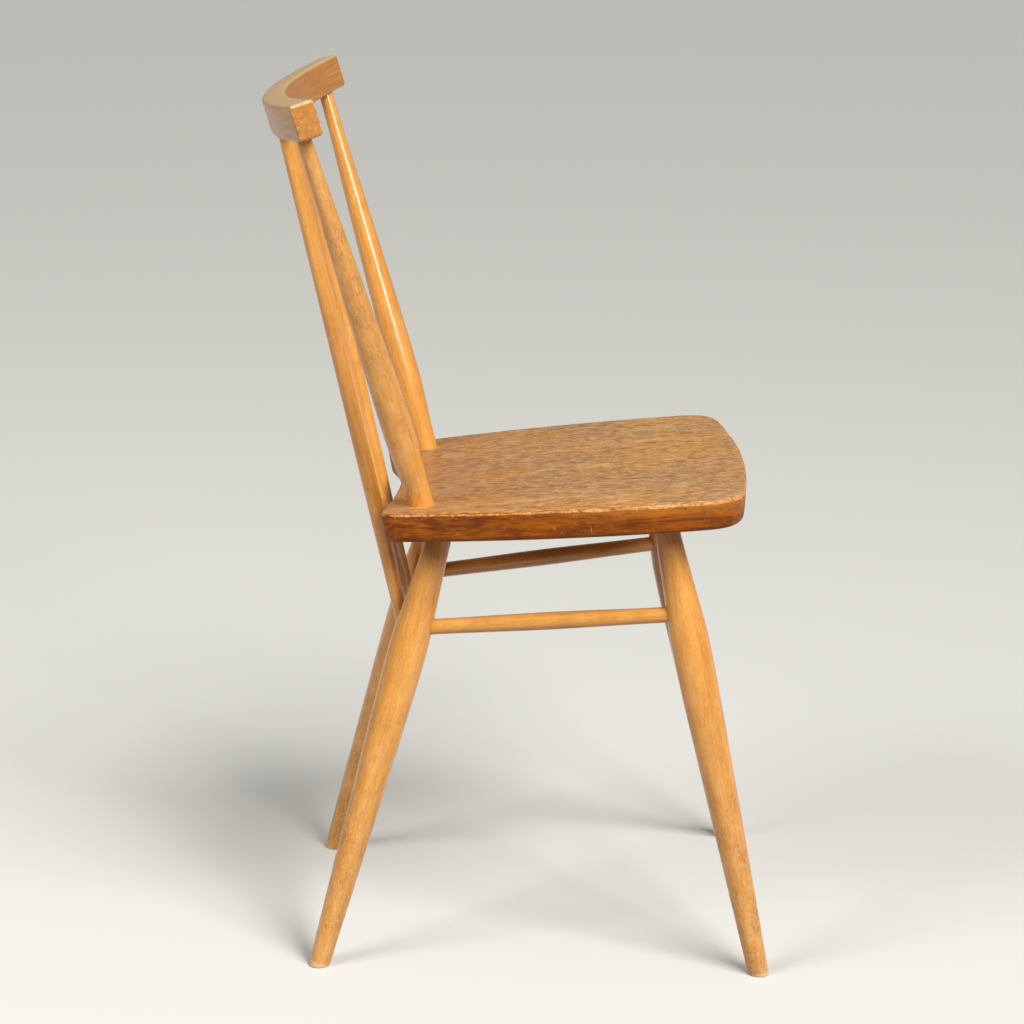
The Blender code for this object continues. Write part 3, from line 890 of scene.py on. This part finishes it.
def beech_tones(wood, grain, worn):
    """Colour, rubbed share and relief of varnished beech."""
    share = BEECH_SHARES
    bands = wood.mask(grain, *BEECH_BANDS)
    streaks = wood.mask(grain, *BEECH_STREAKS)
    fibres = wood.noise(grain, *BEECH_FIBRES)
    flecks = wood.mask(grain, *BEECH_FLECKS)
    blotches = wood.noise(grain, *BEECH_BLOTCHES)
    crazing = wood.noise(grain, *BEECH_CRAZING)
    dots = wood.mask(grain, *BEECH_DOTS) * worn

    colour = wood.blend(bands * share["bands"] + streaks * share["streaks"], HONEY, AMBER)
    colour = wood.blend(wood.step(fibres, *FIBRES_EDGE) * share["fibres"], colour, STRAW)
    colour = wood.blend(flecks * share["flecks"], colour, UMBER)
    colour = wood.blend(wood.step(blotches, *BLOTCHES_EDGE) * worn * share["brown"], colour, UMBER)
    colour = wood.blend(wood.step(1 - blotches, *BLOTCHES_EDGE) * worn * share["pale"], colour, STRAW)
    reach = layered(REACH_SHARES, crazing=crazing, blotches=blotches, worn=worn)
    rubbed = wood.step(reach, *RUBBED_EDGE) * wood.step(worn, *WORN_EDGE)
    grimy = wood.step(reach, *GRIMY_EDGE) * (1 - rubbed) * worn
    colour = wood.blend(grimy * share["grimy"], colour, UMBER)
    colour = wood.blend(rubbed * share["rubbed"], colour, STRAW)
    colour = wood.blend(dots * share["dots"], colour, BARE)
    return colour, rubbed, layered(RELIEF_SHARES, fibres=fibres, flecks=flecks, rubbed=rubbed)


# %% A beech finish for each piece
END_SPECKS = ((620, 620, 260), 3, 0.7, 1.7)
END_SPECKS_EDGE = (0.58, 0.70)
TENON_TONE_PULL = 0.4
TENON_LINE = 0.001
BARE_RAGGED = 0.004
BARE_LINE = 0.002
BARE_SHARE = 0.8
BEECH_ROUGHNESS = {"base": 0.30, "rubbed": 0.2, "bare": 0.3, "tenon": 0.2}
BEECH_COAT = {"base": 0.75, "rubbed": -0.4, "bare": -0.7, "tenon": -0.7}
NO_TENON = -1.0
NEVER_BARE = 10.0


def beech(name, tenon_end=NO_TENON, tenon_tone=0.3, bare_from=NEVER_BARE):
    """Varnished beech, with a tenon's end and a bare foot at two distances along it."""
    wood = Finish(name)
    grain = wood.attribute("grain")
    colour, rubbed, relief = beech_tones(wood, grain, wood.attribute("worn", "Fac"))
    distance = wood.parts(wood.attribute("place"))[2]
    specks = wood.noise(grain, *END_SPECKS)
    bare = wood.step(distance + specks * BARE_RAGGED, bare_from, bare_from + BARE_LINE)
    tenon = 1 - wood.step(distance, tenon_end, tenon_end + TENON_LINE)
    dark_below, pale_above = END_SPECKS_EDGE
    pale = wood.step(specks, dark_below - tenon_tone * TENON_TONE_PULL, pale_above)
    colour = wood.blend(bare * BARE_SHARE, colour, BARE)
    colour = wood.blend(tenon, colour, wood.blend(pale, TENON_DARK, TENON_PALE))
    wood.vary(Base_Color=colour,
              Roughness=layered(BEECH_ROUGHNESS, rubbed=rubbed, bare=bare, tenon=tenon),
              Coat_Weight=layered(BEECH_COAT, rubbed=rubbed, bare=bare, tenon=tenon))
    wood.relief(relief, *BEECH_RELIEF)
    wood.hold(**BEECH_GLOSS)
    return wood.material


# %% [markdown]
# The rail is a redder piece, and its beech is also darkened as painted shade, for the
# weaker light that reaches it. Light has faded its top to a dull beige, and its arrises
# are rubbed pale in a thin broken line, most of all at the right end, which is the one
# a hand takes hold of. The line comes from how near a point is to two faces at once.

# %% The rail's finish
RAIL_TONE_AND_SHADE = 0.70
RAIL_RUB_RAGGED = ((420, 420, 300), 4, 0.75, 4.4)
RAIL_RUB_PATCHES = ((90, 90, 60), (0.38, 0.62), 3, 0.6, 2.9)
RAIL_SPECKS = ((420, 420, 16), 3, 0.7, 1.7)
RAIL_RUB_WIDTH = 0.0026
RAIL_RUB_MARGIN = 0.0002
RAIL_RUB_REACH = 0.006
RAIL_RIGHT_END = (0.05, 0.19)
RAIL_ARRIS_EDGE = (0.35, 0.95)
RAIL_DARK_EDGE = (0.50, 0.68)
RAIL_PALE_EDGE = (0.52, 0.68)
RAIL_FADED_FROM = (0.0028, 0.0008)
RAIL_SHARES = {"long arris": 0.6, "left end": 0.6, "bare patches": 0.5, "dark": 0.38, "pale": 0.22,
               "faded": 0.25, "ragged fading": 0.15, "arris": 0.85}
RAIL_ROUGHNESS = {"base": 0.34, "rubbed": 0.15, "arris": 0.2}
RAIL_COAT = {"base": 0.45, "faded": -0.45, "arris": -0.3}


def rail_arris(wood, grain, across, up, round_bend, ragged):
    """Share of bare wood along the rail's arrises."""
    near = []
    for value, size in ((across, RAIL_THICKNESS), (up, RAIL_DEPTH), (round_bend, RAIL_LENGTH)):
        near.append(wood.step(wood.size_of(value) + ragged, size / 2 - RAIL_RUB_WIDTH,
                              size / 2 - RAIL_RUB_MARGIN))
    share = RAIL_SHARES
    arris = near[0] * near[1] * share["long arris"] + near[1] * near[2] + near[0] * near[2]
    right_end = wood.step(0 - round_bend, *RAIL_RIGHT_END)
    arris = arris * (right_end * (1 - share["left end"]) + share["left end"])
    patches = wood.mask(grain, *RAIL_RUB_PATCHES)
    bare_patches = share["bare patches"]
    return wood.step(arris, *RAIL_ARRIS_EDGE) * (patches * (1 - bare_patches) + bare_patches)


def rail_beech(name):
    """Beech as it has worn on the top rail."""
    wood = Finish(name)
    grain = wood.attribute("grain")
    colour, rubbed, relief = beech_tones(wood, grain, wood.attribute("worn", "Fac"))
    # Redder wood, and darker as painted shade for the weaker light on the rail.
    colour = wood.blend(RAIL_TONE_AND_SHADE, colour, RUSSET_AND_SHADE)
    across, up, round_bend = wood.parts(wood.attribute("place"))
    ragged = (wood.noise(grain, *RAIL_RUB_RAGGED) - 0.5) * RAIL_RUB_REACH
    arris = rail_arris(wood, grain, across, up, round_bend, ragged)
    share = RAIL_SHARES
    start, end = [RAIL_DEPTH / 2 - depth for depth in RAIL_FADED_FROM]
    faded = wood.step(up + ragged * share["ragged fading"], start, end)
    specks = wood.noise(grain, *RAIL_SPECKS)
    colour = wood.blend(wood.step(specks, *RAIL_DARK_EDGE) * share["dark"], colour, UMBER)
    colour = wood.blend(wood.step(1 - specks, *RAIL_PALE_EDGE) * share["pale"], colour, STRAW)
    colour = wood.blend(faded * (share["faded"] + specks), colour, FADED)
    colour = wood.blend(arris * share["arris"], colour, STRAW)
    wood.vary(Base_Color=colour, Roughness=layered(RAIL_ROUGHNESS, rubbed=rubbed, arris=arris),
              Coat_Weight=layered(RAIL_COAT, faded=faded, arris=arris))
    wood.relief(relief, *BEECH_RELIEF)
    wood.hold(**BEECH_GLOSS)
    return wood.material


# %% [markdown]
# ## Worn elm
# The seat's top has been sat on for decades: its colour is greyed in patches, with
# coarse streaks and open pores that run from front to back, and towards the back it is
# darkened reddish brown by a painted reflection of the posts. Its edge keeps a deep
# red-brown varnish, more amber under the front. Between them the upper arris is rubbed
# through to pale wood in a ragged line. Thin scratches cross the edge, and a pale ring
# lies round the foot of each post, partly wear and partly a painted highlight.

# %% Colours and grain of elm
ELM_GREY = (0.425, 0.218, 0.088)
ELM_BROWN = (0.520, 0.235, 0.058)
ELM_PALE = (0.780, 0.450, 0.190)
ELM_DARK = (0.190, 0.075, 0.020)
# reddish brown laid on the back of the seat's top as a painted reflection of the posts
ELM_POST_REFLECTION = (0.42, 0.150, 0.035)
ELM_VARNISH = (0.405, 0.098, 0.003)
ELM_RED = (0.160, 0.034, 0.002)
ELM_AMBER = (0.560, 0.210, 0.035)
ELM_BARE = (0.800, 0.460, 0.190)

ELM_FIGURE = ((24, 24, 3.5), 3, 0.6)
ELM_STREAKS = ((110, 150, 20), 4, 0.7)
ELM_RIPPLES = ((165, 330, 85), 4, 0.85, 6.1)
ELM_PORES = ((230, 600, 60), (0.57, 0.64), 2, 0.6)
ELM_MOTTLE = ((16, 16, 9), (0.43, 0.57), 4, 0.6, 5.0)
ELM_RAGGED = ((150, 150, 70), 4, 0.7, 2.2)
ELM_FINE = ((420, 420, 240), 4, 0.8, 3.3)
ELM_PATCHES = ((40, 40, 30), 3, 0.6, 1.2)
ELM_SCRATCHES = ((60, 45, 800), (0.68, 0.74), 2, 0.6, 9.0)
ELM_NICKS = ((420, 420, 420), (0.70, 0.76), 2, 0.6, 8.0)

TOP_STREAKS_EDGE = (0.46, 0.66)
PALE_RIPPLES_EDGE = (0.51, 0.60)
DARK_RIPPLES_EDGE = (0.53, 0.62)
POST_REFLECTION_FROM = (0.20, 0.38)
VARNISH_EDGE = (0.38, 0.66)
AMBER_EDGE = (0.50, 0.70)
AMBER_RIM = (-0.010, 0.004)
TOP_SHARES = {"streaks": 0.6, "figure": 0.4, "pale streaks": 0.55, "pale ripples": 0.50,
              "dark ripples": 0.50, "wavering": 0.1, "post_reflection": 0.45, "pores": 0.55}
EDGE_SHARES = {"ripples": 0.6, "figure": 0.4, "amber": 0.6, "wavering": 0.01, "front amber": 0.7,
               "pores": 0.5}


def elm_top(wood, grain, back, layers):
    """Colour of the worn top, darkened towards the back by a painted reflection of the posts."""
    streaks, ripples, pores, figure = layers
    share = TOP_SHARES
    top = wood.blend(wood.mask(grain, *ELM_MOTTLE), ELM_GREY, ELM_BROWN)
    pale = wood.step(streaks * share["streaks"] + figure * share["figure"], *TOP_STREAKS_EDGE)
    top = wood.blend(pale * share["pale streaks"], top, ELM_PALE)
    top = wood.blend(wood.step(ripples, *PALE_RIPPLES_EDGE) * share["pale ripples"], top, ELM_PALE)
    top = wood.blend(wood.step(1 - ripples, *DARK_RIPPLES_EDGE) * share["dark ripples"], top, ELM_DARK)
    # Towards the back the top is blended to a darker reddish brown: a painted reflection of the posts in its
    # varnish.
    post_reflection = wood.step(back + figure * share["wavering"], *POST_REFLECTION_FROM)
    top = wood.blend(post_reflection * share["post_reflection"], top, ELM_POST_REFLECTION)
    return wood.blend(pores * share["pores"], top, ELM_DARK)


def elm_edge(wood, rim, front, layers):
    """Colour of the varnished edge, amber towards the front and under the arris."""
    streaks, ripples, pores, figure = layers
    share = EDGE_SHARES
    edge = wood.blend(wood.step(streaks, *VARNISH_EDGE), ELM_RED, ELM_VARNISH)
    amber = wood.step(ripples * share["ripples"] + figure * share["figure"], *AMBER_EDGE)
    edge = wood.blend(amber * share["amber"], edge, ELM_AMBER)
    high = wood.step(rim + figure * share["wavering"], *AMBER_RIM)
    edge = wood.blend(high * front * share["front amber"], edge, ELM_AMBER)
    return wood.blend(pores * share["pores"], edge, ELM_RED)


# %% Worn places of the seat, and a painted highlight round the posts
ARRIS_MIDDLE = 0.0012
ARRIS_WIDTH = 0.0029
ARRIS_FRONT_GAIN = 0.0010
ARRIS_NEARNESS = 0.7
ARRIS_BREAKS = 1.1
ARRIS_EDGE = (0.36, 0.80)
# pale rings round the post feet: partly wear, partly a painted highlight, strongest at the near right post
POST_RING = (0.0112, 0.0150)
POST_RING_RAGGED = 0.003
POST_RING_AND_HIGHLIGHT_STRENGTH = {"left": 0.5, "right": 0.9}


def post_rings_and_highlight(wood, place_on, ragged):
    """Pale rings on the seat's top round the feet of the posts, partly wear and partly a painted highlight.
    """
    rings = 0.0
    for word, (foot, head) in post_ends.items():
        gap = wood.add("ShaderNodeVectorMath", {"operation": "DISTANCE"},
                       {0: place_on, 1: plank(foot)}, "Value")
        ring = 1 - wood.step(gap - ragged * POST_RING_RAGGED, *POST_RING)
        rings = ring * POST_RING_AND_HIGHLIGHT_STRENGTH[word] + rings
    return rings


def rubbed_arris(wood, rim, front, breaks):
    """Share of bare wood along the upper arris, wider in front and broken by noise."""
    off_arris = wood.size_of(rim + ARRIS_MIDDLE) - front * ARRIS_FRONT_GAIN
    near = 1 - wood.step(off_arris, 0.0, ARRIS_WIDTH)
    return wood.step(near * ARRIS_NEARNESS + breaks * ARRIS_BREAKS, *ARRIS_EDGE)


# %% The seat's finish
SEAT_FRONT_PART = (0.06, 0.24)
ON_TOP_RAGGED = 0.006
ON_TOP_EDGE = (-0.0005, 0.0025)
BARE_EDGE = (0.40, 0.56)
SEAT_SHARES = {"rubbed": 0.72, "nicks": 0.8, "marks": 0.6}
ELM_ROUGHNESS = {"base": 0.38, "streaks": 0.12, "rubbed": 0.15}
ELM_COAT = {"base": 0.10, "rubbed": -0.10}
ELM_RELIEF_SHARES = {"base": 0.0, "streaks": 0.4, "ripples": 0.3, "pores": -0.6, "rubbed": -0.4}
ELM_RELIEF = (0.0005, 0.6)
ELM_GLOSS = {"Coat_Roughness": 0.22, "Specular_IOR_Level": 0.15}


def elm(name):
    """Worn elm with its rubbed arris, scratches and nicks."""
    wood = Finish(name)
    grain, place_on = wood.attribute("grain"), wood.attribute("place")
    rim = wood.attribute("rim", "Fac")
    back = wood.parts(place_on)[2]
    front = 1 - wood.step(back, *SEAT_FRONT_PART)
    figure = wood.noise(grain, *ELM_FIGURE)
    streaks = wood.noise(grain, *ELM_STREAKS)
    ripples = wood.noise(grain, *ELM_RIPPLES)
    pores = wood.mask(grain, *ELM_PORES)
    ragged = wood.noise(grain, *ELM_RAGGED)
    fine = wood.noise(grain, *ELM_FINE)
    patches = wood.noise(grain, *ELM_PATCHES)

    share = SEAT_SHARES
    on_top = wood.step(rim + (ragged - 0.5) * ON_TOP_RAGGED, *ON_TOP_EDGE)
    layers = (streaks, ripples, pores, figure)
    colour = wood.blend(on_top, elm_edge(wood, rim, front, layers), elm_top(wood, grain, back, layers))
    rubbed = rubbed_arris(wood, rim, front, ragged + fine + patches - 1.5)
    # The pale rings round the post feet join the rubbed share. They are partly wear and partly a painted
    # highlight.
    rubbed = wood.sum_of("MAXIMUM", rubbed, post_rings_and_highlight(wood, place_on, ragged))
    bare = wood.blend(wood.step(fine, *BARE_EDGE), ELM_AMBER, ELM_BARE)
    colour = wood.blend(rubbed * share["rubbed"], colour, bare)
    scratches = wood.mask(grain, *ELM_SCRATCHES) * (1 - on_top)
    nicks = wood.mask(grain, *ELM_NICKS)
    marks = wood.sum_of("MAXIMUM", scratches, nicks * share["nicks"])
    colour = wood.blend(marks * share["marks"], colour, ELM_BARE)

    wood.vary(Base_Color=colour, Roughness=layered(ELM_ROUGHNESS, streaks=streaks, rubbed=rubbed),
              Coat_Weight=layered(ELM_COAT, rubbed=rubbed))
    height = layered(ELM_RELIEF_SHARES, streaks=streaks, ripples=ripples, pores=pores, rubbed=rubbed)
    wood.relief(height, *ELM_RELIEF)
    wood.hold(**ELM_GLOSS)
    return wood.material


# %% [markdown]
# ## Finishing
# Every piece now takes the place of the plain solid of its name and gets its finish.
# A leg's finish is told where its tenon ends in the seat's top and where its foot is
# bare. The left rear tenon has stayed paler than the seat, and the others have not.

# %% Finish every piece
TENON_END = 0.005
TENON_TONES = {"front_leg_left": 0.2, "front_leg_right": 0.1, "rear_leg_left": 0.8, "rear_leg_right": 0.1}
BARE_FEET = {"front": 0.0005, "rear": 0.0020}


def finish_of(name):
    """The material for a piece."""
    if name == "seat":
        return elm("worn_elm")
    if name == "top_rail":
        return rail_beech("top_rail_beech")
    if name not in leg_ends:
        return beech(name + "_beech")
    top, foot = leg_ends[name]
    bare_from = (foot - top).length - BARE_FEET[name.split("_")[0]]
    return beech(name + "_beech", tenon_end=TENON_END, tenon_tone=TENON_TONES[name], bare_from=bare_from)


for name, piece in finished.items():
    piece.data.materials.clear()
    piece.data.materials.append(finish_of(name))
    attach(piece, "root")
    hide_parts(name)
    "elm" if name == "seat" else "beech"
print("finished pieces:", len(finished))

# %% [markdown]
# ## Floor and light
# The floor is pale and plain and reaches past the top of the picture. To the chair
# itself it is a dark wooden floor, as in the picture, so little light comes up under
# the seat. A broad lamp stands at the camera's right, where the picture's shadows say
# it was, and one at the left, high up, draws the long highlights down the posts.

# %% Floor
FLOOR_SIZE = 60
FLOOR_SEEN = (0.76, 0.75, 0.70)
FLOOR_UNSEEN = (0.17, 0.115, 0.07)
FLOOR_GLOSS = {"Roughness": 0.7, "Specular_IOR_Level": 0.2}


def seen_share(finish):
    """1 where the camera, a mirror or a glass looks, and 0 for light that spreads."""
    path = finish.tree.nodes.new("ShaderNodeLightPath")
    rays = [Socket(finish, path.outputs["Is %s Ray" % kind]) for kind in ("Camera", "Glossy", "Transmission")]
    return finish.sum_of("MINIMUM", rays[0] + rays[1] + rays[2], 1.0)


bpy.ops.object.select_all(action="DESELECT")
bpy.ops.mesh.primitive_plane_add(size=FLOOR_SIZE, location=(0, 0, 0))
floor = bpy.context.object
floor.name = "floor"
floor_finish = Finish("pale_floor")
floor_finish.vary(Base_Color=floor_finish.blend(seen_share(floor_finish), FLOOR_UNSEEN, FLOOR_SEEN))
floor_finish.hold(**FLOOR_GLOSS)
floor.data.materials.append(floor_finish.material)
print("floor", FLOOR_SIZE, "m wide")

# %% Lamps
LOOK_AT = Vector((0, 0, 0.4))
MAIN_LAMP = {"position": (-2.8, -1.4, 2.4), "size": 1.2, "power": 74}
LEFT_LAMP = {"position": (-1.6, 2.6, 2.9), "size": 1.6, "power": 62}
SUN_FROM = Vector((-1.5, -1.6, 2.4))
SUN_POWER = 1.9
SUN_SPREAD = radians(24)
SKY = (0.240, 0.238, 0.233)
HORIZON = (0.503, 0.491, 0.456)


def facing(direction):
    """The turn that points a lamp or sun in a direction."""
    return direction.to_track_quat("-Z", "Y").to_euler()


def softbox(name, position, size, power):
    """A square soft lamp that faces the chair."""
    data = bpy.data.lights.new(name, "AREA")
    data.size = size
    data.energy = power
    lamp = bpy.data.objects.new(name, data)
    lamp.location = position
    lamp.rotation_euler = facing(LOOK_AT - Vector(position))
    bpy.context.scene.collection.objects.link(lamp)


softbox("main_softbox", **MAIN_LAMP)
softbox("left_softbox", **LEFT_LAMP)
sun_data = bpy.data.lights.new("soft_sun", "SUN")
sun_data.energy = SUN_POWER
sun_data.angle = SUN_SPREAD
sun = bpy.data.objects.new("soft_sun", sun_data)
sun.rotation_euler = facing(-SUN_FROM)
bpy.context.scene.collection.objects.link(sun)

world = bpy.data.worlds.new("studio")
world.use_nodes = True
background = world.node_tree.nodes["Background"]
path = world.node_tree.nodes.new("ShaderNodeLightPath")
mix = world.node_tree.nodes.new("ShaderNodeMix")
mix.data_type = "RGBA"
mix.inputs[MIX_FIRST].default_value = (*SKY, 1.0)
mix.inputs[MIX_SECOND].default_value = (*HORIZON, 1.0)
world.node_tree.links.new(path.outputs["Is Camera Ray"], mix.inputs[0])
world.node_tree.links.new(mix.outputs[MIX_RESULT], background.inputs["Color"])
background.inputs["Strength"].default_value = 1.0
bpy.context.scene.world = world
